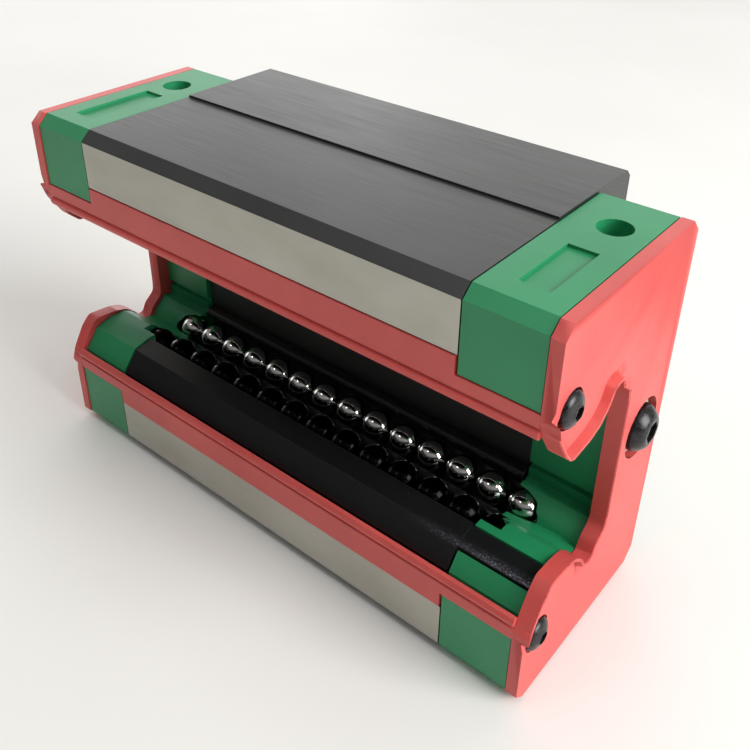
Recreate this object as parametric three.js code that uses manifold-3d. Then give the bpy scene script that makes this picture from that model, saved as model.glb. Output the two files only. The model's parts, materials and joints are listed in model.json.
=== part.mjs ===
// A short square linear guide carriage lying on its side.
// X runs along the rail travel, Y from the open channel towards the mounting face, Z across the width.
// Sections are drawn in (w, v): w is the height above the leg faces, v is the distance across the width.
import * as THREE from "three";
import Module from "manifold-3d";

const wasm = await Module();
wasm.setup();

// Driving dimensions, in millimetres.
const WIDTH = 70;
const HEIGHT = 47.5;
const STEEL_LENGTH = 80;
const CAP_LENGTH = 12.8;
const PLATE_THICKNESS = 1.6;
const LIP_HEIGHT = 0.9;
const GAP = 0.2;

const BALL_RADIUS = 3.05;
const BALL_PITCH = 6.423;
const ROW_BALLS = 12;
const CHANNEL_RADIUS = 3.4;
const TURN_RADIUS = 5.786;
const TURN_BALLS = 3;
const TURN_STEP = THREE.MathUtils.degToRad(67.6);

const SIDE_STEP = 0.4;
const SIDE_STEP_W = 24.5;
const PLATE_FRONT = -0.25;
const PLATE_BACK = 39.25;
const STRIP_V = 10.8;
const CAP_STRIP_V = 13.8;
const FACE_CHAMFER = 1.2;
const WEB_W = 25.5;

const BOLT_SPACING = 50;
const BOLT_HOLE_RADIUS = 3.4;
const BOLT_HOLE_DEPTH = 12;
const SCREW = { shank: 1.45, head: 2.8, height: 1.65, hole: 1.6, length: 20, sink: 0.6, socket: 1.15 };
const SCREW_PLACES = { lower: [3.6, 13.3], upper: [4.0, 14.5] };
const PORT = { w: 31.6, plateHole: 5.4, capHole: 3.3 };
const PLUG = { shank: 2.9, head: 4.1, flat: 2.1, height: 2.2, socket: 1.6 };
const WASHER = { inner: 3.3, outer: 5.1, thickness: 0.8 };
const SIDE_PORT = { x: 7.2, w: 27.5, radius: 2.75, depth: 3.2 };
const LABEL = { x: 6.8, length: 4.8, depth: 0.95, lower: [5.5, 21.7], upper: [6.2, 19.0] };
const GUIDE = { pocket: 4.8, thickness: 7.4 };
const BALL_WINDOW = { length: 3.7, start: 9.9, end: 12.8, bottom: 21 };

// Ends of the parts along X, measured from the middle of the carriage.
const STEEL_END = STEEL_LENGTH / 2;
const CAP_START = STEEL_END + GAP;
const CAP_END = STEEL_END + CAP_LENGTH;
const PLATE_START = CAP_END + GAP;
const PLATE_END = PLATE_START + PLATE_THICKNESS;
const LIP_END = PLATE_END + LIP_HEIGHT;
const ROW_START = -(ROW_BALLS - 1) * BALL_PITCH / 2;
const TURN_START = (BALL_PITCH - ROW_START - STEEL_END) / TURN_RADIUS;

// The two ball circuits of one leg: load side centre and return side centre.
const CIRCUITS = {
  web: { load: [21.5, 17.5], back: [24.0, 6.2] },
  tip: { load: [12.4, 18.6], back: [10.4, 7.2] },
};
const CIRCUIT_LIST = ["web", "tip"].flatMap((name) => [false, true].map((upper) => ({ name, upper })));

// Materials.
const finish = (color, roughness, metalness) =>
  new THREE.MeshStandardMaterial({ color, roughness, metalness });
const MATERIALS = {
  steel: finish(0x33363a, 0.42, 0.7),
  greenPlastic: finish(0x1f8f55, 0.5, 0),
  redPlastic: finish(0xc93a3a, 0.5, 0),
  blackPlastic: finish(0x101113, 0.35, 0),
  chrome: finish(0xd9dadb, 0.08, 1),
  blackSteel: finish(0x17181a, 0.3, 0.8),
  greyPlastic: finish(0xb9b6a8, 0.6, 0),
};

// Geometry helpers.
function solidOf(geometry) {
  const plain = geometry.index ? geometry.toNonIndexed() : geometry;
  const welded = new Map();
  const position = plain.getAttribute("position");
  const vertices = [];
  const triangles = [];
  for (let i = 0; i < position.count; i++) {
    const point = [position.getX(i), position.getY(i), position.getZ(i)];
    const key = point.map((value) => value.toFixed(4)).join(" ");
    if (!welded.has(key)) {
      welded.set(key, vertices.length / 3);
      vertices.push(...point);
    }
    triangles.push(welded.get(key));
  }
  const faces = [];
  for (let i = 0; i < triangles.length; i += 3) {
    const [a, b, c] = triangles.slice(i, i + 3);
    if (a !== b && b !== c && c !== a) faces.push(a, b, c);
  }
  return new wasm.Manifold(new wasm.Mesh({
    numProp: 3,
    vertProperties: new Float32Array(vertices),
    triVerts: new Uint32Array(faces),
  }));
}

function geometryOf(solid) {
  const mesh = solid.getMesh();
  const geometry = new THREE.BufferGeometry();
  geometry.setAttribute("position", new THREE.BufferAttribute(mesh.vertProperties, 3));
  geometry.setIndex(new THREE.BufferAttribute(mesh.triVerts, 1));
  const flat = geometry.toNonIndexed();
  flat.computeVertexNormals();
  return flat;
}

const joined = (solids) => solids.reduce((sum, solid) => sum.add(solid));
const cut = (solid, tools) => tools.reduce((rest, tool) => rest.subtract(tool), solid);

// A (w, v) outline extruded along X from x0 to x1.
function bar(points, x0, x1) {
  const shape = new THREE.Shape(points.map(([w, v]) => new THREE.Vector2(w, v)));
  const geometry = new THREE.ExtrudeGeometry(shape, { depth: x1 - x0, bevelEnabled: false });
  geometry.applyMatrix4(new THREE.Matrix4().makeBasis(
    new THREE.Vector3(0, 1, 0), new THREE.Vector3(0, 0, 1), new THREE.Vector3(1, 0, 0)));
  geometry.translate(x0, 0, 0);
  return solidOf(geometry);
}

// A cylinder along X.
function rodX(radius, x0, x1, [w, v], sides = 16) {
  const geometry = new THREE.CylinderGeometry(radius, radius, x1 - x0, sides);
  geometry.rotateZ(-Math.PI / 2);
  geometry.translate((x0 + x1) / 2, w, v);
  return solidOf(geometry);
}

// A solid of revolution about X, from pairs of radius and distance along X.
function turned(profile, [w, v], sides) {
  const points = profile.map(([radius, x]) => new THREE.Vector2(radius, x));
  const geometry = new THREE.LatheGeometry(points, sides);
  geometry.rotateZ(-Math.PI / 2);
  geometry.translate(0, w, v);
  return solidOf(geometry);
}

// Half a turn about the height axis through the middle: swaps the ends and the legs together.
function swapped(solid) {
  const geometry = geometryOf(solid);
  geometry.rotateY(Math.PI);
  geometry.translate(0, 0, WIDTH);
  return solidOf(geometry);
}

const across = (v, upper) => (upper ? WIDTH - v : v);

// Where a seal screw of the +X end stands in the section.
function screwPlace(upper) {
  const [w, v] = upper ? SCREW_PLACES.upper : SCREW_PLACES.lower;
  return [w, across(v, upper)];
}

const mirrored = (points) => points.map(([w, v]) => [w, WIDTH - v]);

// Points of an arc in the section plane.
function arc([w, v], radius, fromDegrees, toDegrees, steps) {
  return Array.from({ length: steps + 1 }, (_, i) => {
    const angle = THREE.MathUtils.degToRad(fromDegrees + ((toDegrees - fromDegrees) * i) / steps);
    return [w + radius * Math.cos(angle), v + radius * Math.sin(angle)];
  });
}

// A closed U section. Outer points run from the leg face to the mounting side, channel points from
// the leg face to the middle of the web, both for the lower leg.
function channelSection(outer, lowerChannel, upperChannel = lowerChannel) {
  return [
    ...outer,
    ...mirrored(outer).reverse(),
    ...mirrored(upperChannel),
    ...lowerChannel.slice().reverse(),
  ];
}

// Steel block: raceways, return bores, end screw holes and the four blind mounting holes.
function blockBody() {
  const outer = [
    [0, 2.3],
    [1.9, SIDE_STEP],
    [SIDE_STEP_W, SIDE_STEP],
    [SIDE_STEP_W, 0],
    [HEIGHT - FACE_CHAMFER, 0],
    [HEIGHT, FACE_CHAMFER],
  ];
  const channel = [
    [0, STRIP_V],
    [1.5, STRIP_V],
    [1.5, 16.2],
    [8.6, 16.2],
    ...arc(CIRCUITS.tip.load, CHANNEL_RADIUS, 205, 300, 5),
    [15.2, 14.9],
    [18.0, 14.3],
    ...arc(CIRCUITS.web.load, CHANNEL_RADIUS, 235, 345, 6),
    [WEB_W, 17.6],
  ];
  const body = bar(channelSection(outer, channel), -STEEL_END, STEEL_END);
  return cut(body, [...returnBores(), ...endScrewHoles(), ...mountingHoles()]);
}

function returnBores() {
  const ends = [-STEEL_END - 1, STEEL_END + 1];
  return CIRCUIT_LIST.map(({ name, upper }) => {
    const [w, v] = CIRCUITS[name].back;
    return rodX(CHANNEL_RADIUS, ...ends, [w, across(v, upper)], 12);
  });
}

function endScrewHoles() {
  const near = [false, true].map((upper) =>
    rodX(SCREW.hole, STEEL_END - 10, STEEL_END + 1, screwPlace(upper), 10));
  return [...near, ...near.map(swapped)];
}

function mountingHoles() {
  const holes = [];
  for (const x of [-BOLT_SPACING / 2, BOLT_SPACING / 2]) {
    for (const z of [-BOLT_SPACING / 2, BOLT_SPACING / 2]) {
      const hole = new THREE.CylinderGeometry(BOLT_HOLE_RADIUS, BOLT_HOLE_RADIUS, 2 * BOLT_HOLE_DEPTH, 24);
      hole.translate(x, HEIGHT, WIDTH / 2 + z);
      holes.push(solidOf(hole));
    }
  }
  return holes;
}

// Outline of a cap or a plate outside the channel.
const endOuter = (front, back) => [
  [front, 2.25],
  [front + 2, 0.45],
  [back - 2.35, 0.45],
  [back, 2.7],
];

// Channel outline of a cap: leg nose, ledges that follow the rail, and the groove in the web.
const capChannel = (nose) => [
  [0, CAP_STRIP_V],
  [1.5, CAP_STRIP_V],
  [1.5, 17.7],
  ...nose,
  [8.2, 22.4],
  [11.7, 22.3],
  [13.4, 21.3],
  [14.9, 19.8],
  [16.2, 18.1],
  [19.2, 17.5],
  [20.0, 19.0],
  [21.4, 20.1],
  [22.3, 21.1],
  [22.9, 21.2],
  [23.3, 20.8],
  [24.4, 21.2],
  [24.4, 23.0],
  [25.3, 23.2],
  [25.3, 24.2],
  [24.4, 24.4],
];
const PLAIN_NOSE = [[4.6, 21.6]];
const NOTCHED_NOSE = [[3.75, 20.5], [3.95, 19.2], [8.2, 19.2]];

// Centre and directions of the half circle that joins a load row to its return row.
function turnFrame({ name, upper }, side) {
  const { load, back } = CIRCUITS[name];
  const start = new THREE.Vector3(side * STEEL_END, load[0], across(load[1], upper));
  const end = new THREE.Vector3(side * STEEL_END, back[0], across(back[1], upper));
  const centre = start.clone().add(end).multiplyScalar(0.5);
  const radial = start.clone().sub(end).normalize();
  const outward = new THREE.Vector3(side, 0, 0);
  const axis = radial.clone().cross(outward);
  return { centre, radial, outward, axis };
}

function placed(geometry, { centre, radial, outward, axis }) {
  const matrix = new THREE.Matrix4().makeBasis(radial, outward, axis);
  return solidOf(geometry.applyMatrix4(matrix.setPosition(centre)));
}

const turnChannel = (frame) =>
  placed(new THREE.TorusGeometry(TURN_RADIUS, CHANNEL_RADIUS, 14, 28), frame);

const turnSlug = (frame, radius, thickness) =>
  placed(new THREE.CylinderGeometry(radius, radius, thickness, 16).rotateX(Math.PI / 2), frame);

// The cap of the +X end, drawn with the retainer's notch in its lower leg.
function endCap() {
  const outline = channelSection(
    endOuter(0, PLATE_BACK - 0.1), capChannel(NOTCHED_NOSE), capChannel(PLAIN_NOSE));
  const body = bar(outline, CAP_START, CAP_END);
  const turns = CIRCUIT_LIST.flatMap((circuit) => {
    const frame = turnFrame(circuit, 1);
    return [turnChannel(frame), turnSlug(frame, GUIDE.pocket, GUIDE.thickness + 0.3)];
  });
  const screwHoles = [false, true].map((upper) =>
    rodX(SCREW.hole, CAP_START - 1, CAP_END + 1, screwPlace(upper), 12));
  const port = rodX(PORT.capHole, CAP_START - 1, CAP_END + 1, [PORT.w, WIDTH / 2]);
  return cut(body, [...turns, ...ballWindows(), ...screwHoles, port, ...sideRecesses()]);
}

// Openings over the ends of the tip rows, in the top of each nose.
function ballWindows() {
  const { length, start, end, bottom } = BALL_WINDOW;
  const corners = [[start, bottom], [end, bottom], [end, bottom + 3], [start, bottom + 3]];
  return [corners, mirrored(corners).reverse()].map((points) =>
    bar(points, CAP_START - 1, CAP_START + length));
}

// The lubrication port and the plain label recess on each side of a cap.
function sideRecesses() {
  return [[0, LABEL.lower], [WIDTH, LABEL.upper]].flatMap(([v, [start, end]]) => {
    const hole = new THREE.CylinderGeometry(SIDE_PORT.radius, SIDE_PORT.radius, 2 * SIDE_PORT.depth, 28);
    hole.rotateX(Math.PI / 2);
    hole.translate(STEEL_END + SIDE_PORT.x, SIDE_PORT.w, v);
    const label = new THREE.BoxGeometry(LABEL.length, end - start, 2 * LABEL.depth);
    label.translate(STEEL_END + LABEL.x, (start + end) / 2, v);
    return [solidOf(hole), solidOf(label)];
  });
}

// Half-moon guide that forms the inner side of a turn.
function turnGuide(circuit, side) {
  const frame = turnFrame(circuit, side);
  const slug = turnSlug(frame, GUIDE.pocket - GAP, GUIDE.thickness);
  const keep = new THREE.BoxGeometry(12, 30, 30);
  keep.translate(side * (CAP_START + 6), frame.centre.y, frame.centre.z);
  return slug.intersect(solidOf(keep)).subtract(turnChannel(frame));
}

// Seal plate of the +X end: a flat plate with a raised wiping lip along the rail outline.
const LIP_CHANNEL = [
  [PLATE_FRONT, 15.0],
  [0.5, 17.5],
  [3.1, 21.7],
  [5.0, 23.5],
  [10.0, 23.0],
  [12.5, 22.2],
  [14.8, 20.2],
  [16.0, 17.9],
  [18.2, 17.6],
  [19.2, 19.6],
  [20.4, 20.5],
  [21.6, 21.5],
  [21.8, 23.0],
];
const LIP_OUTER = [
  [PLATE_FRONT, 13.6],
  [2.0, 17.5],
  [4.6, 20.7],
  [9.6, 20.8],
  [12.4, 19.2],
  [14.0, 15.6],
  [19.2, 15.4],
  [20.6, 18.6],
  [23.6, 19.8],
  [23.8, 22.6],
];

function endSeal() {
  const plate = bar(channelSection(endOuter(PLATE_FRONT, PLATE_BACK), LIP_CHANNEL), PLATE_START, PLATE_END);
  const lip = bar(channelSection(LIP_OUTER, LIP_CHANNEL), PLATE_END - 0.5, LIP_END);
  const screwHoles = [false, true].flatMap((upper) => {
    const place = screwPlace(upper);
    return [
      rodX(SCREW.hole, PLATE_START - 1, LIP_END + 1, place, 12),
      rodX(SCREW.head + 0.35, PLATE_END - SCREW.sink, LIP_END + 1, place, 16),
    ];
  });
  const port = rodX(PORT.plateHole, PLATE_START - 1, LIP_END + 1, [PORT.w, WIDTH / 2], 24);
  return cut(plate.add(lip), [...screwHoles, port]);
}

// Rubber strip along a leg face, wide beside the steel and narrow between the caps and the seal plates.
function bottomSeal() {
  const narrow = bar([[-0.2, CAP_STRIP_V + GAP], [-0.2, 17.3], [0.2, 18.3], [0.6, 18.3], [1.25, 17.3],
    [1.25, CAP_STRIP_V + GAP]], -CAP_END, CAP_END);
  const wide = bar([[-0.2, STRIP_V + GAP], [-0.2, CAP_STRIP_V + 1], [1.25, CAP_STRIP_V + 1],
    [1.25, STRIP_V + GAP]], -STEEL_END + GAP, STEEL_END - GAP);
  return narrow.add(wide);
}

// Moulded nose of a leg. It keeps the tip row in, and one end reaches through the cap.
function legRetainer() {
  const [w, v] = CIRCUITS.tip.load;
  const nose = [
    [1.7, 16.5],
    [1.55, 17.6],
    [2.2, 18.6],
    [4.6, 21.5],
    [8.5, 22.3],
    [8.8, 21.7],
    ...arc([w, v], CHANNEL_RADIUS + 0.1, 145, 185, 3),
    [8.6, 16.5],
  ];
  const reach = [[4.15, 20.9], [4.6, 21.5], [8.0, 22.15], [8.0, 19.5], [4.15, 19.5]];
  const body = bar(nose, GAP - STEEL_END, STEEL_END - GAP);
  return body.add(bar(reach, STEEL_END - 1, CAP_END));
}

// Narrow strip between the two load rows of a leg.
function centreRetainer() {
  const profile = [[15.6, 15.3], [15.9, 17.3], [16.4, 17.7], [17.6, 17.6], [17.95, 16.9], [17.9, 14.8]];
  return bar(profile, GAP - STEEL_END, STEEL_END - GAP);
}

// Ridge between a web row and the middle of the web.
function webRetainer() {
  const profile = [[25.25, 19.4], [24.7, 19.5], [23.5, 20.7], [23.3, 21.4], [23.8, 22.0], [25.25, 22.6]];
  return bar(profile, GAP - STEEL_END, STEEL_END - GAP);
}

// Button head screw through a seal plate and its cap into the steel, seen at the +X end.
function sealScrew(upper) {
  const seat = PLATE_END - SCREW.sink + GAP;
  const { head, shank, length, height, socket } = SCREW;
  const profile = [[0, seat - length], [shank, seat - length], [shank, seat], [head, seat],
    [head, seat + 0.4], [head * 0.85, seat + height * 0.7], [head * 0.5, seat + height], [0, seat + height]];
  const place = screwPlace(upper);
  const hexagon = rodX(socket, seat + height - 1, seat + height + 1, place, 6);
  return turned(profile, place, 16).subtract(hexagon);
}

// Button head plug with a hexagon socket in the middle lubrication port, seen at the +X end.
function portPlug() {
  const seat = CAP_END + WASHER.thickness + 2 * GAP;
  const { shank, head, flat, height, socket } = PLUG;
  const tip = STEEL_END + 3;
  const profile = [[0, tip], [shank, tip], [shank, seat], [head, seat], [head, seat + 0.7],
    [(head + flat) / 2, seat + height * 0.8], [flat, seat + height], [0, seat + height]];
  const place = [PORT.w, WIDTH / 2];
  const hexagon = rodX(socket, seat + height - 1.5, seat + height + 1, place, 6);
  return turned(profile, place, 20).subtract(hexagon);
}

function portWasher() {
  const start = CAP_END + GAP;
  const place = [PORT.w, WIDTH / 2];
  const disc = rodX(WASHER.outer, start, start + WASHER.thickness, place, 24);
  return disc.subtract(rodX(WASHER.inner, start - 1, start + 2, place, 16));
}

// A straight row of touching balls, joined by thin necks, about its own axis.
function ballRow(place, anglesDegrees, sides) {
  const profile = [[0, ROW_START - BALL_RADIUS]];
  for (let ball = 0; ball < ROW_BALLS; ball++) {
    for (const degrees of anglesDegrees) {
      const angle = THREE.MathUtils.degToRad(degrees);
      const x = ROW_START + ball * BALL_PITCH - BALL_RADIUS * Math.cos(angle);
      profile.push([BALL_RADIUS * Math.sin(angle), x]);
    }
  }
  profile.push([0, BALL_RADIUS - ROW_START]);
  return turned(profile, place, sides);
}

// The balls that are inside a turn, joined by thin necks.
function turnBalls(circuit, side) {
  const frame = turnFrame(circuit, side);
  const centreOf = (angle) => frame.centre.clone()
    .addScaledVector(frame.radial, TURN_RADIUS * Math.cos(angle))
    .addScaledVector(frame.outward, TURN_RADIUS * Math.sin(angle));
  const centres = Array.from({ length: TURN_BALLS }, (_, i) => centreOf(TURN_START + i * TURN_STEP));
  const balls = centres.map((centre) => {
    const ball = new THREE.SphereGeometry(BALL_RADIUS, 8, 5);
    return solidOf(ball.translate(centre.x, centre.y, centre.z));
  });
  const necks = centres.slice(1).map((centre, i) => {
    const path = new THREE.LineCurve3(centres[i], centre);
    const section = new THREE.Shape(arc([0, 0], 0.9, 0, 300, 5).map(([x, y]) => new THREE.Vector2(x, y)));
    return solidOf(new THREE.ExtrudeGeometry(section, { extrudePath: path, steps: 1, bevelEnabled: false }));
  });
  return joined([...balls, ...necks]);
}

// Assembly.
const carriage = new THREE.Group();
carriage.name = "linear_guide_carriage";
const sections = new THREE.Group();
sections.position.y = -(PLATE_FRONT + HEIGHT) / 2;
carriage.add(sections);

function addPiece(name, solid, material) {
  const mesh = new THREE.Mesh(geometryOf(solid), material.clone());
  mesh.name = name;
  sections.add(mesh);
}

// The right or lower piece as drawn, and the left or upper one as its copy turned by half a turn.
function addPair(names, solid, material) {
  addPiece(names[0], solid, material);
  addPiece(names[1], swapped(solid), material);
}

addPiece("block_body", blockBody(), MATERIALS.steel);
addPair(["right_end_cap", "left_end_cap"], endCap(), MATERIALS.greenPlastic);
addPair(["right_end_seal", "left_end_seal"], endSeal(), MATERIALS.redPlastic);
addPair(["lower_bottom_seal", "upper_bottom_seal"], bottomSeal(), MATERIALS.redPlastic);
addPair(["lower_leg_retainer", "upper_leg_retainer"], legRetainer(), MATERIALS.blackPlastic);
addPair(["lower_centre_retainer", "upper_centre_retainer"], centreRetainer(), MATERIALS.blackPlastic);
addPair(["lower_web_retainer", "upper_web_retainer"], webRetainer(), MATERIALS.blackPlastic);
addPair(["right_port_plug", "left_port_plug"], portPlug(), MATERIALS.blackSteel);
addPair(["right_port_washer", "left_port_washer"], portWasher(), MATERIALS.greyPlastic);
addPair(["right_lower_seal_screw", "left_upper_seal_screw"], sealScrew(false), MATERIALS.blackSteel);
addPair(["right_upper_seal_screw", "left_lower_seal_screw"], sealScrew(true), MATERIALS.blackSteel);
for (const circuit of CIRCUIT_LIST) {
  const label = (circuit.upper ? "upper_" : "lower_") + circuit.name;
  const { load, back } = CIRCUITS[circuit.name];
  const loadPlace = [load[0], across(load[1], circuit.upper)];
  const backPlace = [back[0], across(back[1], circuit.upper)];
  addPiece(label + "_load_row", ballRow(loadPlace, [14, 50, 90, 130, 166], 8), MATERIALS.chrome);
  addPiece(label + "_return_row", ballRow(backPlace, [14, 90, 166], 6), MATERIALS.chrome);
  for (const [end, side] of [["left", -1], ["right", 1]]) {
    addPiece(`${label}_${end}_turn_balls`, turnBalls(circuit, side), MATERIALS.chrome);
    addPiece(`${label}_${end}_turn_guide`, turnGuide(circuit, side), MATERIALS.greenPlastic);
  }
}

export default carriage;
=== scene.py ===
"""Looks of the linear guide carriage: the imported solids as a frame, finer meshes, materials, light and camera."""

import json
import math

import bmesh
import bpy
from mathutils import Matrix, Vector

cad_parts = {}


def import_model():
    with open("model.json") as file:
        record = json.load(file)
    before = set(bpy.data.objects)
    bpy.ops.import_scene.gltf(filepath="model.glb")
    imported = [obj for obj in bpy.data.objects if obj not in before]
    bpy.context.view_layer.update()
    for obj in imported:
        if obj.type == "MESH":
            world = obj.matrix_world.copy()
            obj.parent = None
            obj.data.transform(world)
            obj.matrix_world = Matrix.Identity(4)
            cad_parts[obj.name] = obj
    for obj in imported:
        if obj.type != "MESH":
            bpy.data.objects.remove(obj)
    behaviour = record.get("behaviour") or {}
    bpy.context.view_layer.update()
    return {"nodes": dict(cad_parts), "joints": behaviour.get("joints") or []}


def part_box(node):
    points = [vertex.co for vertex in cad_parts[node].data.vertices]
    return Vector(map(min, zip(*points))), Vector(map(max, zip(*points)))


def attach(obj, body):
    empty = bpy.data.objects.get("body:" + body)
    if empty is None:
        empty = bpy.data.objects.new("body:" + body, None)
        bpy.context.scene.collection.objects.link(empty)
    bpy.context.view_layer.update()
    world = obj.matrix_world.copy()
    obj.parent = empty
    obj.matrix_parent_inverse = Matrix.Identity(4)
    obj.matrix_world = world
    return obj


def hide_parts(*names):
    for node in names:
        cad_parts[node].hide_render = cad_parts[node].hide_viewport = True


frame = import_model()

MM = 0.001
BLOCK_LOW, BLOCK_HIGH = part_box("block_body")
WIDTH = (BLOCK_HIGH.z - BLOCK_LOW.z) / MM
STEEL_END = BLOCK_HIGH.x / MM

# The seal plate, in millimetres. Its rubber and the screws in it stand a little past the solids.
PLATE_LOW, PLATE_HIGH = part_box("right_end_seal")
RUBBER_PROUD = 0.4
LIP_HEIGHT = 0.9
PLATE_START = PLATE_LOW.x / MM
LIP_END = PLATE_HIGH.x / MM + RUBBER_PROUD
PLATE_END = LIP_END - LIP_HEIGHT
PLATE_FRONT = (PLATE_LOW.y - BLOCK_LOW.y) / MM
PLATE_BACK = (PLATE_HIGH.y - BLOCK_LOW.y) / MM

# Fasteners, in millimetres.
SCREW_RADIUS = 1.45
SCREW_HEAD_RADIUS = 2.8
SCREW_HEAD_HEIGHT = 1.65
SCREW_SOCKET = 1.15
SCREW_SINK = 0.7
PLUG_RADIUS = 2.9
PLUG_HEAD_RADIUS = 4.1
PLUG_SOCKET = 1.9
PLUG_SEAT_DEPTH = 2.2
PLUG_PROUD = 0.7
PORT_RADIUS = 5.4
WASHER_OUTER = 5.1
WASHER_INNER = 3.3

# Balls, a little under size so that they clear one another on the way into a turn.
BALL_RADIUS = 3.08
CAD_BALL_RADIUS = 3.05
ROW_BALLS = 12
TURN_BALLS = 3
TURN_STEP = math.radians(67.6)


# ---------------------------------------------------------------- mesh helpers


def point(x, w, v):
    """Metres from millimetres along X, height w above the leg faces and distance v across the width."""
    return Vector((x * MM, BLOCK_LOW.y + w * MM, v * MM))


def middle(node):
    """Height w and distance v of the middle of a CAD node's box."""
    low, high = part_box(node)
    return ((low.y + high.y) / 2 - BLOCK_LOW.y) / MM, (low.z + high.z) / 2 / MM


def mirrored(points):
    """Outline points of the lower leg, moved to the upper leg."""
    return [(w, WIDTH - v) for w, v in points]


def link(name, mesh, material, body="carriage", replaces=()):
    """A new piece that rides on a body and stands for CAD nodes."""
    piece = bpy.data.objects.new(name, mesh)
    bpy.context.scene.collection.objects.link(piece)
    piece.data.materials.clear()
    for each in material if isinstance(material, list) else [material]:
        piece.data.materials.append(each)
    if replaces:
        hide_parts(*replaces)
    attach(piece, body)
    return piece


def mesh_of(bm, name):
    mesh = bpy.data.meshes.new(name)
    bmesh.ops.recalc_face_normals(bm, faces=bm.faces)
    bm.to_mesh(mesh)
    bm.free()
    mesh.shade_smooth()
    return mesh


def soften(piece, width, segments=3, angle=24):
    """Rounds the edges of a piece and keeps its flat faces flat."""
    piece.data.shade_smooth()
    bevel = piece.modifiers.new("soft_edges", "BEVEL")
    bevel.width = width * MM
    bevel.segments = segments
    bevel.limit_method = "ANGLE"
    bevel.angle_limit = math.radians(angle)
    weighted = piece.modifiers.new("flat_faces", "WEIGHTED_NORMAL")
    weighted.mode = "FACE_AREA"
    weighted.weight = 90
    return piece


def prism(outline, x0, x1):
    """A (w, v) outline extruded along X, as a bmesh."""
    bm = bmesh.new()
    ends = [[bm.verts.new(point(x, w, v)) for w, v in outline] for x in (x0, x1)]
    bm.faces.new(ends[0])
    bm.faces.new(reversed(ends[1]))
    for i in range(len(outline)):
        j = (i + 1) % len(outline)
        bm.faces.new((ends[0][j], ends[0][i], ends[1][i], ends[1][j]))
    return bm


def lathe(profile, w, v, sides=64):
    """Pairs of radius and distance along X, turned about X, as a bmesh. The first and last radius are 0."""
    bm = bmesh.new()
    tips = [bm.verts.new(point(profile[i][1], w, v)) for i in (0, -1)]
    rings = []
    for radius, x in profile[1:-1]:
        ring = []
        for i in range(sides):
            angle = 2 * math.pi * i / sides
            ring.append(bm.verts.new(point(x, w + radius * math.cos(angle), v + radius * math.sin(angle))))
        rings.append(ring)
    for i in range(sides):
        j = (i + 1) % sides
        bm.faces.new((tips[0], rings[0][j], rings[0][i]))
        bm.faces.new((tips[1], rings[-1][i], rings[-1][j]))
        for a, b in zip(rings, rings[1:]):
            bm.faces.new((a[i], a[j], b[j], b[i]))
    return bm


def cylinder(radius, x0, x1, w, v, sides=64):
    return lathe([(0, x0), (radius, x0), (radius, x1), (0, x1)], w, v, sides)


def temporary(bm, name):
    piece = bpy.data.objects.new(name, mesh_of(bm, name))
    bpy.context.scene.collection.objects.link(piece)
    return piece


def carve(bm, name, tools):
    """The mesh of bm with other bmeshes cut away."""
    base = temporary(bm, name)
    helpers = [temporary(tool, name + "_tool") for tool in tools]
    for helper in helpers:
        step = base.modifiers.new("cut", "BOOLEAN")
        step.operation = "DIFFERENCE"
        step.solver = "EXACT"
        step.object = helper
    evaluated = base.evaluated_get(bpy.context.evaluated_depsgraph_get())
    mesh = bpy.data.meshes.new_from_object(evaluated)
    mesh.name = name
    for piece in [base, *helpers]:
        bpy.data.objects.remove(piece)
    return mesh


def clean_copy(node):
    """A copy of a CAD node's mesh whose flat triangles are merged into whole faces."""
    bm = bmesh.new()
    bm.from_mesh(frame["nodes"][node].data)
    bmesh.ops.remove_doubles(bm, verts=bm.verts, dist=1e-6)
    bmesh.ops.dissolve_limit(bm, angle_limit=math.radians(1), verts=bm.verts, edges=bm.edges)
    return mesh_of(bm, node + "_look")


def swapped(mesh):
    """A copy turned half a turn about the height axis: it swaps the ends and the legs."""
    turn = Matrix.Rotation(math.pi, 4, "Y")
    shift = Matrix.Translation((0, 0, WIDTH * MM))
    copy = mesh.copy()
    copy.transform(shift @ turn)
    return copy


def rounded(points, radius, steps=4, closed=True):
    """An outline with its corners replaced by short curves."""
    made = []
    count = len(points)
    for i, (w, v) in enumerate(points):
        if not closed and i in (0, count - 1):
            made.append((w, v))
            continue
        here = Vector((w, v))
        back = Vector(points[i - 1]) - here
        ahead = Vector(points[(i + 1) % count]) - here
        reach = min(radius, back.length * 0.45, ahead.length * 0.45)
        start = here + back.normalized() * reach
        end = here + ahead.normalized() * reach
        for k in range(steps + 1):
            t = k / steps
            spot = start * (1 - t) ** 2 + here * 2 * t * (1 - t) + end * t * t
            made.append((spot.x, spot.y))
    return made


# ---------------------------------------------------------------- materials


class Tree:
    """A node tree with short calls to add nodes and links."""

    def __init__(self, tree):
        self.tree = tree

    def add(self, kind, **values):
        node = self.tree.nodes.new(kind)
        for key, value in values.items():
            if key in node.inputs:
                node.inputs[key].default_value = value
            else:
                setattr(node, key, value)
        return node

    def join(self, source, target):
        self.tree.links.new(source, target)

    def span(self, factor, low, high, start=0.3, end=0.7):
        """A value from start to end mapped to low to high, and clamped."""
        node = self.add("ShaderNodeMapRange")
        limits = (("From Min", start), ("From Max", end), ("To Min", low), ("To Max", high))
        for name, limit in limits:
            node.inputs[name].default_value = limit
        self.join(factor, node.inputs["Value"])
        return node.outputs["Result"]

    def math(self, operation, *values):
        """One sum on numbers or sockets."""
        node = self.add("ShaderNodeMath", operation=operation)
        for socket, value in zip(node.inputs, values):
            if isinstance(value, (int, float)):
                socket.default_value = value
            else:
                self.join(value, socket)
        return node.outputs[0]


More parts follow.
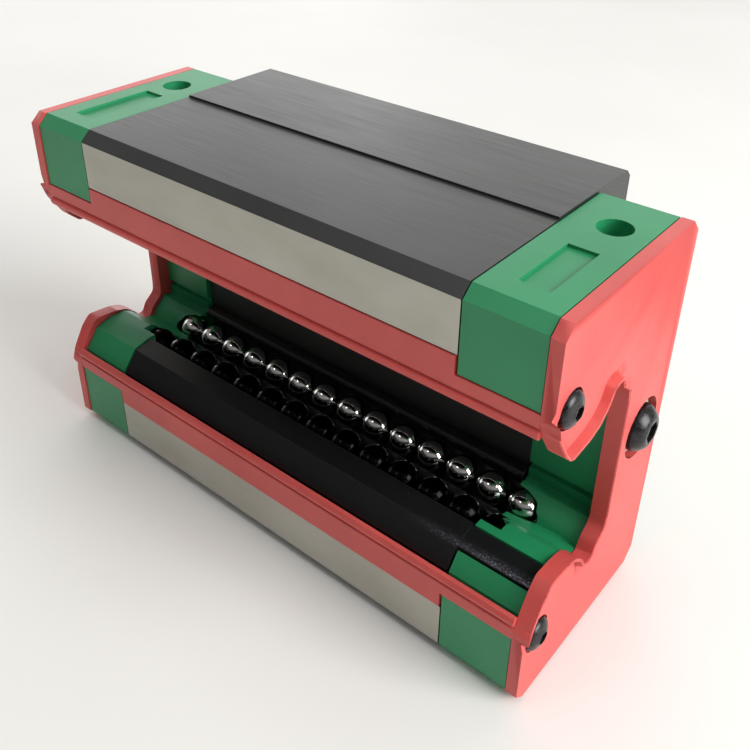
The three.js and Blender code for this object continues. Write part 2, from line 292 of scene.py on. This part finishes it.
class Nodes(Tree):
    """A material's node tree, with its main shader."""

    def __init__(self, name):
        self.material = bpy.data.materials.new(name)
        self.material.use_nodes = True
        super().__init__(self.material.node_tree)
        self.shader = self.tree.nodes["Principled BSDF"]

    def set(self, **values):
        for key, value in values.items():
            self.shader.inputs[key.replace("_", " ")].default_value = value

    def place(self, scale=(1, 1, 1)):
        """Object coordinates in millimetres, stretched by scale."""
        coordinates = self.add("ShaderNodeTexCoord")
        mapping = self.add("ShaderNodeMapping")
        mapping.inputs["Scale"].default_value = [1000 * s for s in scale]
        self.join(coordinates.outputs["Object"], mapping.inputs["Vector"])
        return mapping.outputs["Vector"]

    def noise(self, vector, scale, detail=4.0, roughness=0.55):
        node = self.add("ShaderNodeTexNoise")
        node.inputs["Scale"].default_value = scale
        node.inputs["Detail"].default_value = detail
        node.inputs["Roughness"].default_value = roughness
        self.join(vector, node.inputs["Vector"])
        return node.outputs["Fac"]

    def ramp(self, factor, stops):
        node = self.add("ShaderNodeValToRGB")
        elements = node.color_ramp.elements
        while len(elements) < len(stops):
            elements.new(0.5)
        for element, (position, color) in zip(elements, stops):
            element.position = position
            element.color = (*color, 1) if len(color) == 3 else color
        self.join(factor, node.inputs["Fac"])
        return node.outputs["Color"]

    def bump(self, height, strength, distance):
        node = self.add("ShaderNodeBump")
        node.inputs["Strength"].default_value = strength
        node.inputs["Distance"].default_value = distance * MM
        self.join(height, node.inputs["Height"])
        self.join(node.outputs["Normal"], self.shader.inputs["Normal"])


def oxide_steel():
    """Dark oxidised ground steel with faint lengthwise grinding and cloudy staining."""
    n = Nodes("oxide_steel")
    cloud = n.noise(n.place((0.6, 1, 1)), 0.09, 5)
    grain = n.noise(n.place((0.05, 1.6, 1.6)), 1.4, 3)
    n.join(n.ramp(cloud, [(0.3, (0.014, 0.0155, 0.015)), (0.7, (0.022, 0.024, 0.023))]), n.shader.inputs["Base Color"])
    n.join(n.span(grain, 0.36, 0.46), n.shader.inputs["Roughness"])
    n.set(IOR=1.6)
    n.bump(grain, 0.10, 0.02)
    return n.material


def ground_steel():
    """Bright ground face of a leg, with fine lengthwise lines and a warm tarnish."""
    n = Nodes("ground_steel")
    lines = n.noise(n.place((0.03, 3.0, 3.0)), 2.2, 4)
    stain = n.noise(n.place((0.5, 1, 1)), 0.12, 5)
    n.join(n.ramp(stain, [(0.3, (0.40, 0.385, 0.335)), (0.7, (0.47, 0.46, 0.41))]), n.shader.inputs["Base Color"])
    n.join(n.span(lines, 0.34, 0.50), n.shader.inputs["Roughness"])
    n.set(Metallic=0.85)
    n.bump(lines, 0.18, 0.015)
    return n.material


def moulded(name, low, high, roughness, grain=0.02):
    """Moulded plastic or rubber: slow colour drift and a fine matt grain."""
    n = Nodes(name)
    drift = n.noise(n.place(), 0.07, 3)
    skin = n.noise(n.place(), 6.0, 3)
    n.join(n.ramp(drift, [(0.3, low), (0.7, high)]), n.shader.inputs["Base Color"])
    n.join(n.span(skin, roughness - 0.04, roughness + 0.05), n.shader.inputs["Roughness"])
    n.bump(skin, 0.16, grain)
    return n.material


def painted_glint_nose():
    """Black moulding with a painted highlight: bluish speckles in the base colour along its upper edge towards one
    end.
    """
    n = Nodes("painted_glint_nose")
    coordinates = n.add("ShaderNodeTexCoord")
    axes = n.add("ShaderNodeSeparateXYZ")
    n.join(coordinates.outputs["Object"], axes.inputs["Vector"])
    side = n.math("SIGN", n.math("SUBTRACT", WIDTH / 2 * MM, axes.outputs["Z"]))
    along = n.span(n.math("MULTIPLY", axes.outputs["X"], side), 0, 1, 30 * MM, 52 * MM)
    from_middle = n.math("ABSOLUTE", n.math("SUBTRACT", axes.outputs["Z"], WIDTH / 2 * MM))
    above = n.span(from_middle, 1, 0, 14.0 * MM, 14.5 * MM)
    below = n.span(from_middle, 0, 1, 13.3 * MM, 13.7 * MM)
    specks = n.span(n.noise(n.place((0.7, 1, 1)), 4.2, 3), 0.06, 1, 0.5, 0.72)
    zone = n.math("MULTIPLY", n.math("MULTIPLY", above, below), along)
    glint = n.math("MULTIPLY", zone, specks)
    skin = n.noise(n.place(), 6.0, 3)
    # Painted highlight: inside the zone the speckles turn the base colour bluish white, standing for a glint on the
    # edge facet.
    n.join(n.ramp(glint, [(0.0, (0.007, 0.0072, 0.0078)), (1.0, (0.42, 0.41, 0.52))]), n.shader.inputs["Base Color"])
    n.join(n.span(skin, 0.27, 0.36), n.shader.inputs["Roughness"])
    n.bump(skin, 0.16, 0.02)
    return n.material


def ball_steel(name, shade, roughness):
    """Polished steel, its base colour scaled by shade; a very low shade is painted shade for balls that sit in shadow.
    """
    n = Nodes(name)
    haze = n.noise(n.place(), 0.6, 3)
    colors = [tuple(shade * tint for tint in (0.95, 0.95, 0.93)), tuple(shade * tint for tint in (1.05, 1.05, 1.04))]
    n.join(n.ramp(haze, [(0.3, colors[0]), (0.7, colors[1])]), n.shader.inputs["Base Color"])
    n.join(n.span(haze, roughness, roughness + 0.06), n.shader.inputs["Roughness"])
    n.set(Metallic=1.0)
    return n.material


def black_steel():
    n = Nodes("black_steel")
    skin = n.noise(n.place(), 1.8, 4)
    n.join(n.ramp(skin, [(0.3, (0.016, 0.016, 0.018)), (0.7, (0.034, 0.033, 0.034))]), n.shader.inputs["Base Color"])
    n.join(n.span(skin, 0.22, 0.36), n.shader.inputs["Roughness"])
    n.set(Metallic=0.55)
    n.bump(skin, 0.2, 0.02)
    return n.material


OXIDE = oxide_steel()
GROUND = ground_steel()
GREEN = moulded("green_plastic", (0.012, 0.225, 0.085), (0.018, 0.265, 0.105), 0.42)
RED = moulded("red_rubber", (0.56, 0.066, 0.060), (0.64, 0.088, 0.078), 0.42, 0.03)
BLACK = moulded("black_plastic", (0.003, 0.0032, 0.0035), (0.006, 0.006, 0.007), 0.3)
# Leg retainers: black moulding with a painted highlight along their edge.
NOSE = painted_glint_nose()
GREY = moulded("grey_plastic", (0.44, 0.43, 0.36), (0.52, 0.50, 0.43), 0.6)
CHROME = ball_steel("polished_steel", 0.6, 0.04)
# Near-black copy of the ball steel: painted shade for the tip-row balls, which sit in shadow.
SHADED_BALL_STEEL = ball_steel("painted_shade_steel", 0.005, 0.14)
BLACK_STEEL = black_steel()


# ---------------------------------------------------------------- steel block


def block():
    """The CAD block with soft edges; its two leg faces are bright, the rest is oxidised."""
    mesh = clean_copy("block_body")
    piece = link("block_body_look", mesh, [OXIDE, GROUND], replaces=["block_body"])
    for face in mesh.polygons:
        on_leg_face = face.normal.y < -0.99 and face.center.y < BLOCK_LOW.y + 0.2 * MM
        face.material_index = 1 if on_leg_face else 0
    soften(piece, 0.22)


# ---------------------------------------------------------------- green caps


def end_caps():
    for side in ("left", "right"):
        node = f"{side}_end_cap"
        piece = link(node + "_look", clean_copy(node), GREEN, replaces=[node])
        soften(piece, 0.22)


# ---------------------------------------------------------------- red seal plates

LIP = [
    (PLATE_FRONT, 15.0),
    (0.5, 17.5),
    (3.1, 21.7),
    (5.0, 23.5),
    (10.0, 23.0),
    (12.5, 22.2),
    (14.8, 20.2),
    (16.0, 17.9),
    (18.2, 17.6),
    (19.2, 19.6),
    (20.4, 20.5),
    (21.6, 21.5),
    (21.8, 23.0),
]


def lip_ring(distance):
    """The rail outline moved away from the rail, with mitred and then rounded corners."""
    path = [*LIP, *mirrored(LIP)[::-1]]
    made = [(PLATE_FRONT, LIP[0][1] - distance)]
    for before, here, after in zip(path, path[1:], path[2:]):
        first = (Vector(here) - Vector(before)).normalized()
        second = (Vector(after) - Vector(here)).normalized()
        normal = Vector((first.y + second.y, -first.x - second.x)).normalized()
        stretch = 1 / max(0.6, normal.dot(Vector((first.y, -first.x))))
        made.append(tuple(Vector(here) + normal * distance * stretch))
    made.append((PLATE_FRONT, WIDTH - LIP[0][1] + distance))
    return rounded(made, 0.7, 3, closed=False)


def seal_plate():
    """A plate whose rail edge stands up as a narrow lip, with a shallow valley behind it."""
    outer = [
        (PLATE_FRONT, 2.25),
        (PLATE_FRONT + 2, 0.45),
        (PLATE_BACK - 2.35, 0.45),
        (PLATE_BACK, 2.7),
    ]
    outer += mirrored(outer)[::-1]
    steps = [(0.0, PLATE_START), (0.0, LIP_END - 0.2), (0.12, LIP_END), (0.45, LIP_END - 0.1),
             (0.85, PLATE_END - 0.45), (2.5, PLATE_END)]
    bm = bmesh.new()
    rows = [[bm.verts.new(point(x, w, v)) for w, v in lip_ring(distance)] for distance, x in steps]
    back = [bm.verts.new(point(PLATE_START, w, v)) for w, v in outer]
    front = [bm.verts.new(point(PLATE_END, w, v)) for w, v in outer]
    for a, b in zip(rows, rows[1:]):
        for i in range(len(a) - 1):
            bm.faces.new((a[i], a[i + 1], b[i + 1], b[i]))
    for i in range(len(outer) - 1):
        bm.faces.new((back[i], back[i + 1], front[i + 1], front[i]))
    bm.faces.new([*front, *rows[-1][::-1]])
    bm.faces.new([*back, *rows[0][::-1]])
    bm.faces.new([back[0], front[0], *(row[0] for row in rows[::-1])])
    bm.faces.new([back[-1], front[-1], *(row[-1] for row in rows[::-1])])
    return bm


def end_seals():
    """Both plates. A screw's seat stops at the plate's face, so that the lip stays whole beside it."""
    port = middle("right_port_plug")
    lower, upper = middle("right_lower_seal_screw"), middle("right_upper_seal_screw")
    tools = [cylinder(PORT_RADIUS, PLATE_START - 1, LIP_END + 1, *port)]
    for place in (lower, upper):
        tools.append(cylinder(SCREW_RADIUS + 0.35, PLATE_START - 1, LIP_END + 1, *place))
        tools.append(cylinder(SCREW_HEAD_RADIUS + 0.3, PLATE_END - SCREW_SINK, PLATE_END + 0.05, *place))
    mesh = carve(seal_plate(), "end_seal", tools)
    for node, shape in (("right_end_seal", mesh), ("left_end_seal", swapped(mesh))):
        piece = link(node + "_look", shape, RED, replaces=[node])
        soften(piece, 0.1)


# ---------------------------------------------------------------- strips and retainers


def strips():
    """Strips with a groove and a raised wiping ridge along the rail side, narrow between the caps."""
    section = [(1.25, 11.0), (-0.2, 11.0), (-0.2, 16.1), (0.2, 16.3), (0.2, 16.6), (-0.35, 16.85), (-0.45, 17.4),
               (-0.1, 18.1), (0.5, 18.3), (1.25, 17.3)]
    reach = PLATE_START - 0.02
    shoulder = STEEL_END - 0.2
    corner = [(-1, 10), (2, 10), (2, 14.0), (-1, 14.0)]
    tools = [prism(corner, shoulder, reach + 1), prism(corner, -reach - 1, -shoulder)]
    mesh = carve(prism(rounded(section, 0.12, 3), -reach, reach), "bottom_seal", tools)
    for leg, shape in (("lower", mesh), ("upper", swapped(mesh))):
        node = f"{leg}_bottom_seal"
        piece = link(node + "_look", shape, RED, replaces=[node])
        soften(piece, 0.06, 2)


def level_reach(mesh):
    """Brings the part of a leg retainer that reaches through the cap level with the rest of its top."""
    corner_w, corner_v, rise = 8.0, 22.15, 0.0474
    for vertex in mesh.vertices:
        w = (vertex.co.y - BLOCK_LOW.y) / MM
        v = vertex.co.z / MM
        inward = 1 if v < WIDTH / 2 else -1
        from_side = v if inward == 1 else WIDTH - v
        if abs(w - corner_w) < 0.02 and abs(from_side - corner_v) < 0.02:
            vertex.co.z += inward * rise * MM


def retainers():
    for leg in ("lower", "upper"):
        for part in ("leg", "centre", "web"):
            node = f"{leg}_{part}_retainer"
            # The leg retainers get the black moulding with the painted highlight on their edge.
            finish = NOSE if part == "leg" else BLACK
            mesh = clean_copy(node)
            if part == "leg":
                level_reach(mesh)
            piece = link(node + "_look", mesh, finish, replaces=[node])
            soften(piece, 0.2)


# ---------------------------------------------------------------- screws, plugs and washers


def button_screw(node):
    """Button head screw with a hexagon socket."""
    low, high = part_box(node)
    right = high.x > 0
    w, v = middle(node)
    tip, top = (low.x, high.x) if right else (-high.x, -low.x)
    tip, top = tip / MM + RUBBER_PROUD, top / MM + RUBBER_PROUD
    seat, radius = top - SCREW_HEAD_HEIGHT, SCREW_HEAD_RADIUS
    dome = [(radius * math.cos(a), seat + 0.35 + 1.3 * math.sin(a)) for a in
            [math.radians(d) for d in range(0, 66, 6)]]
    shank = [(0, tip), (SCREW_RADIUS - 0.25, tip), (SCREW_RADIUS, tip + 0.4), (SCREW_RADIUS, seat)]
    profile = [*shank, (radius, seat), *dome, (SCREW_SOCKET, top - 0.02), (0, top)]
    socket = lathe([(0, top - 1.2), (SCREW_SOCKET, top - 1.0), (SCREW_SOCKET, top + 1), (0, top + 1)], w, v, 6)
    mesh = carve(lathe(profile, w, v), node, [socket])
    if not right:
        mesh.transform(Matrix.Scale(-1, 4, (1, 0, 0)))
        mesh.flip_normals()
    piece = link(node + "_look", mesh, BLACK_STEEL, replaces=[node])
    soften(piece, 0.08, 2)


def port_plug(side):
    """Button head plug with a flat face and a hexagon socket in the middle port."""
    low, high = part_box("right_port_plug")
    w, v = middle("right_port_plug")
    tip, top = low.x / MM, high.x / MM + PLUG_PROUD
    seat, radius = high.x / MM - PLUG_SEAT_DEPTH, PLUG_HEAD_RADIUS
    side_wall = [(radius, seat), (radius, seat + 1.0), (radius - 0.15, seat + 1.4), (radius - 0.5, seat + 1.9)]
    shoulder = [(radius - 0.95, seat + 2.4), (radius - 1.4, seat + 2.75), (radius - 1.8, top)]
    profile = [(0, tip), (PLUG_RADIUS, tip), (PLUG_RADIUS, seat), *side_wall, *shoulder, (0, top)]
    socket = lathe([(0, top - 2.0), (PLUG_SOCKET, top - 1.7), (PLUG_SOCKET, top + 1), (0, top + 1)], w, v, 6)
    mesh = carve(lathe(profile, w, v), "port_plug", [socket])
    node = f"{side}_port_plug"
    mesh = mesh if side == "right" else swapped(mesh)
    piece = link(node + "_look", mesh, BLACK_STEEL, replaces=[node])
    soften(piece, 0.12, 2)


def washer(side):
    """Pale ring under a port plug."""
    low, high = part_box("right_port_washer")
    w, v = middle("right_port_plug")
    x0, x1 = low.x / MM, high.x / MM
    hole = cylinder(WASHER_INNER, x0 - 1, x1 + 1, w, v)
    mesh = carve(cylinder(WASHER_OUTER, x0, x1, w, v, 72), "port_washer", [hole])
    node = f"{side}_port_washer"
    mesh = mesh if side == "right" else swapped(mesh)
    soften(link(node + "_look", mesh, GREY, replaces=[node]), 0.12, 2)


# ---------------------------------------------------------------- balls


def ball_mesh(name, centres):
    """One mesh of separate balls."""
    bm = bmesh.new()
    for centre in centres:
        bmesh.ops.create_uvsphere(bm, u_segments=40, v_segments=24, radius=BALL_RADIUS * MM,
                                  matrix=Matrix.Translation(centre))
    return mesh_of(bm, name)


def row_centres(node):
    """Centres of the balls in a straight row, from the row's own box."""
    low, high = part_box(node)
    reach = (high.x - low.x) / 2 - CAD_BALL_RADIUS * MM
    centre = (low + high) / 2
    places = [-reach + 2 * reach * i / (ROW_BALLS - 1) for i in range(ROW_BALLS)]
    return [Vector((x, centre.y, centre.z)) for x in places]


def turn_centres(leg, name, side):
    """Centres of the three balls in a turn, from the turn's joint and the load row."""
    joint = next(j for j in frame["joints"] if j["name"] == f"{leg}_{name}_{side}_turn_hinge")
    pivot = Vector(joint["pos_m"])
    row = row_centres(f"{leg}_{name}_load_row")
    last = row[-1] if side == "right" else row[0]
    arm = Vector((0, last.y - pivot.y, last.z - pivot.z))
    outward = Vector((1 if side == "right" else -1, 0, 0))
    pitch = (row[1] - row[0]).length
    start = (abs(last.x) + pitch - abs(pivot.x)) / arm.length
    made = []
    for i in range(TURN_BALLS):
        angle = start + i * TURN_STEP
        made.append(pivot + arm * math.cos(angle) + outward * arm.length * math.sin(angle))
    return made


def balls():
    """Bright balls in the web rows, near-black ones with painted shade in the tip rows, and green guides in the turns.
    """
    for leg in ("lower", "upper"):
        # The tip rows get the near-black copy of the ball steel: painted shade.
        for name, finish in (("web", CHROME), ("tip", SHADED_BALL_STEEL)):
            label = f"{leg}_{name}"
            for run in ("load", "return"):
                node = f"{label}_{run}_row"
                mesh = ball_mesh(node, row_centres(node))
                link(node + "_look", mesh, finish, f"{label}_{run}_balls", [node])
            for side in ("left", "right"):
                node = f"{label}_{side}_turn_balls"
                mesh = ball_mesh(node, turn_centres(leg, name, side))
                link(node + "_look", mesh, finish, f"{label}_{side}_turn", [node])
                guide = frame["nodes"][f"{label}_{side}_turn_guide"]
                guide.data.materials.clear()
                guide.data.materials.append(GREEN)


# ---------------------------------------------------------------- floor, light and camera


def floor():
    """Plain pale floor that brightens far away, so that it meets the background without an edge."""
    n = Nodes("floor_white")
    drift = n.noise(n.place((0.01, 0.01, 0.01)), 1.0, 2)
    n.join(n.ramp(drift, [(0.3, (0.80, 0.79, 0.76)), (0.7, (0.84, 0.83, 0.80))]), n.shader.inputs["Base Color"])
    n.set(Roughness=0.55)
    coordinates = n.add("ShaderNodeTexCoord")
    distance = n.add("ShaderNodeVectorMath", operation="LENGTH")
    n.join(coordinates.outputs["Object"], distance.inputs[0])
    n.set(Emission_Color=(1.0, 0.99, 0.96, 1))
    n.join(n.span(distance.outputs["Value"], 0.0, 0.55, 0.9, 2.2), n.shader.inputs["Emission Strength"])
    bm = bmesh.new()
    bmesh.ops.create_grid(bm, x_segments=2, y_segments=2, size=3.0)
    mesh = mesh_of(bm, "floor")
    mesh.materials.append(n.material)
    piece = bpy.data.objects.new("floor", mesh)
    bpy.context.scene.collection.objects.link(piece)
    piece.location.z = BLOCK_LOW.z - 0.0001


def area_light(name, place, target, size, power):
    """A rectangular panel that faces a target."""
    data = bpy.data.lights.new(name, "AREA")
    data.shape = "RECTANGLE"
    data.size, data.size_y = size
    data.energy = power
    light = bpy.data.objects.new(name, data)
    bpy.context.scene.collection.objects.link(light)
    light.location = place
    light.rotation_euler = (Vector(target) - Vector(place)).to_track_quat("-Z", "Y").to_euler()


def world():
    """A dim room: lighter behind the carriage than in front of it, and pale where the camera sees it.

    In front there is a brighter belt half way up, with darkness above and below: the balls reflect it
    as a narrow strip.
    """
    room = bpy.data.worlds.new("studio")
    bpy.context.scene.world = room
    room.use_nodes = True
    t = Tree(room.node_tree)
    direction = t.add("ShaderNodeTexCoord")
    parts = t.add("ShaderNodeSeparateXYZ")
    t.join(direction.outputs["Generated"], parts.inputs["Vector"])
    strength = t.span(parts.outputs["Y"], 0.12, 0.42, -0.7, 0.5)
    above = t.span(parts.outputs["Z"], 0.0, 2.15, 0.76, 0.84)
    below = t.span(parts.outputs["Z"], 2.1, 0.0, 0.42, 0.56)
    front = t.span(parts.outputs["Y"], 1.0, 0.0, -0.45, -0.15)
    dimming = t.math("SUBTRACT", t.math("ADD", above, below), 1.3)
    kept = t.math("SUBTRACT", 1.0, t.math("MULTIPLY", dimming, front))
    path = t.add("ShaderNodeLightPath")
    shown = t.add("ShaderNodeMix")
    shown.inputs["B"].default_value = 0.9
    t.join(path.outputs["Is Camera Ray"], shown.inputs["Factor"])
    t.join(t.math("MULTIPLY", strength, kept), shown.inputs["A"])
    background = room.node_tree.nodes["Background"]
    t.join(shown.outputs["Result"], background.inputs["Strength"])
    background.inputs["Color"].default_value = (1.0, 0.99, 0.95, 1)


def from_angles(azimuth, elevation):
    """Unit vector towards an azimuth, counted from the front, and an elevation, both in degrees."""
    turn, rise = math.radians(azimuth), math.radians(elevation)
    return Vector((math.sin(turn) * math.cos(rise), -math.cos(turn) * math.cos(rise), math.sin(rise)))


def lights():
    """Key light at the right, soft fill, and three small panels that glint on the balls."""
    area_light("key", (0.75, 0.1, 0.42), (0.03, 0, 0.03), (0.5, 0.5), 8.6)
    area_light("top", (0.0, 0.0, 1.2), (0, 0, 0), (1.0, 1.0), 3.4)
    area_light("wall", (-1.15, 0.7, 0.22), (0, 0, 0.04), (1.1, 0.5), 5.6)
    area_light("back", (-0.3, 1.1, 0.5), (0, 0, 0.04), (1.2, 0.6), 3.0)
    area_light("front", (0.35, -1.15, 0.14), (0, 0, 0.03), (1.0, 0.14), 0.4)
    middle_height = 0.03
    panels = [(-27, 54, (0.17, 0.14), 0.5), (68, 48, (0.16, 0.14), 0.45), (-88, 14, (0.5, 0.35), 0.7)]
    for number, (azimuth, elevation, size, power) in enumerate(panels):
        place = from_angles(azimuth, elevation) + Vector((0, 0, middle_height))
        area_light(f"spot_{number}", place, (0, 0, middle_height), size, power)


def camera():
    """The photograph's viewpoint."""
    data = bpy.data.cameras.new("camera")
    data.lens = 43.43
    data.shift_y = -0.1364
    data.clip_start = 0.005
    seen = bpy.data.objects.new("camera", data)
    bpy.context.scene.collection.objects.link(seen)
    seen.location = Vector((92.49, -105.74, 127.57)) * MM
    seen.rotation_mode = "QUATERNION"
    ahead = -from_angles(38.99, 30.08)
    turn = ahead.to_track_quat("-Z", "Y").to_matrix() @ Matrix.Rotation(math.radians(0.71), 3, "Z")
    seen.rotation_quaternion = turn.to_quaternion()
    bpy.context.scene.camera = seen
    bpy.context.scene.view_settings.view_transform = "Standard"


block()
end_caps()
end_seals()
strips()
retainers()
for cad_node in sorted(frame["nodes"]):
    if cad_node.endswith("_seal_screw"):
        button_screw(cad_node)
for end in ("left", "right"):
    port_plug(end)
    washer(end)
balls()
floor()
world()
lights()
camera()
